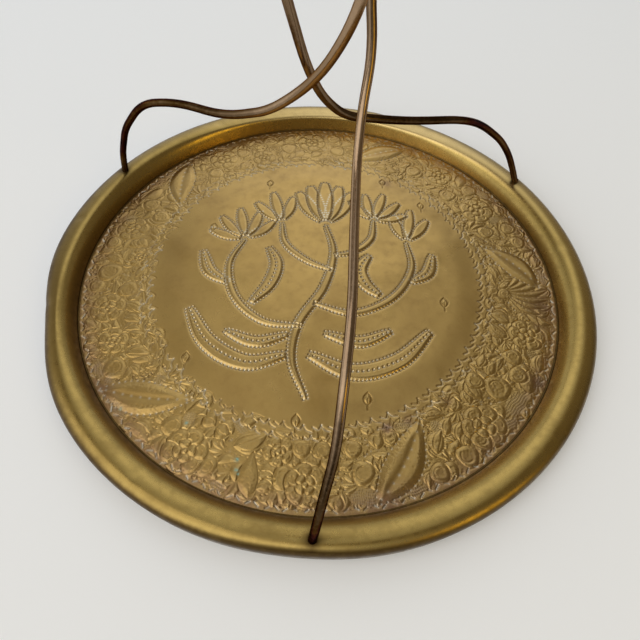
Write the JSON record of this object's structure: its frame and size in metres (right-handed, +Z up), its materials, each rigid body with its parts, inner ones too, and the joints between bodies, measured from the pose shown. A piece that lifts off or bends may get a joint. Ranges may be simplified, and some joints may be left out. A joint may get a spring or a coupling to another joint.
{
  "type": "turkish hanging serving tray",
  "caption": "Round brass serving tray with a half-round rim, carried by three bent rods that meet under a turned cap with a swivelling finial and hanging ring.",
  "frame": {"origin": "centre of the tray's flat underside, on the surface that it rests on", "axes": "+Z up along the axis of the tray and the cap, -Y towards the front rod, X across"},
  "size_m": [0.32, 0.32, 0.2612],
  "materials": {
    "tray_brass": "aged brass, chased border, rubbed rim",
    "rod_brass": "darkened brass rod, rubbed along its length",
    "turned_brass": "turned brass, aged",
    "fastener_brass": "plain brass, dull"
  },
  "bodies": {
    "tray": {"tray_dish": "tray_brass", "arm_front": "rod_brass", "arm_back_right": "rod_brass", "arm_back_left": "rod_brass", "rim_washer_front": "fastener_brass", "rim_washer_back_right": "fastener_brass", "rim_washer_back_left": "fastener_brass", "rim_nut_front": "fastener_brass", "rim_nut_back_right": "fastener_brass", "rim_nut_back_left": "fastener_brass", "crown_cap": "turned_brass", "lock_nut_front": "fastener_brass", "lock_nut_back_right": "fastener_brass", "lock_nut_back_left": "fastener_brass"},
    "swivel": {"swivel_finial": "turned_brass", "swivel_washer": "fastener_brass", "swivel_nut": "fastener_brass"},
    "ring": {"hanging_ring": "rod_brass"}
  },
  "joints": [
    {"name": "swivel_turn", "type": "hinge", "parent": "tray", "child": "swivel", "pos_m": [0, 0, 0.2471], "axis": [0, 0, 1], "continuous": true},
    {"name": "ring_swing", "type": "hinge", "parent": "swivel", "child": "ring", "pos_m": [0, 0, 0.25471], "axis": [1, 0, 0], "range_deg": [0, 264]}
  ]
}
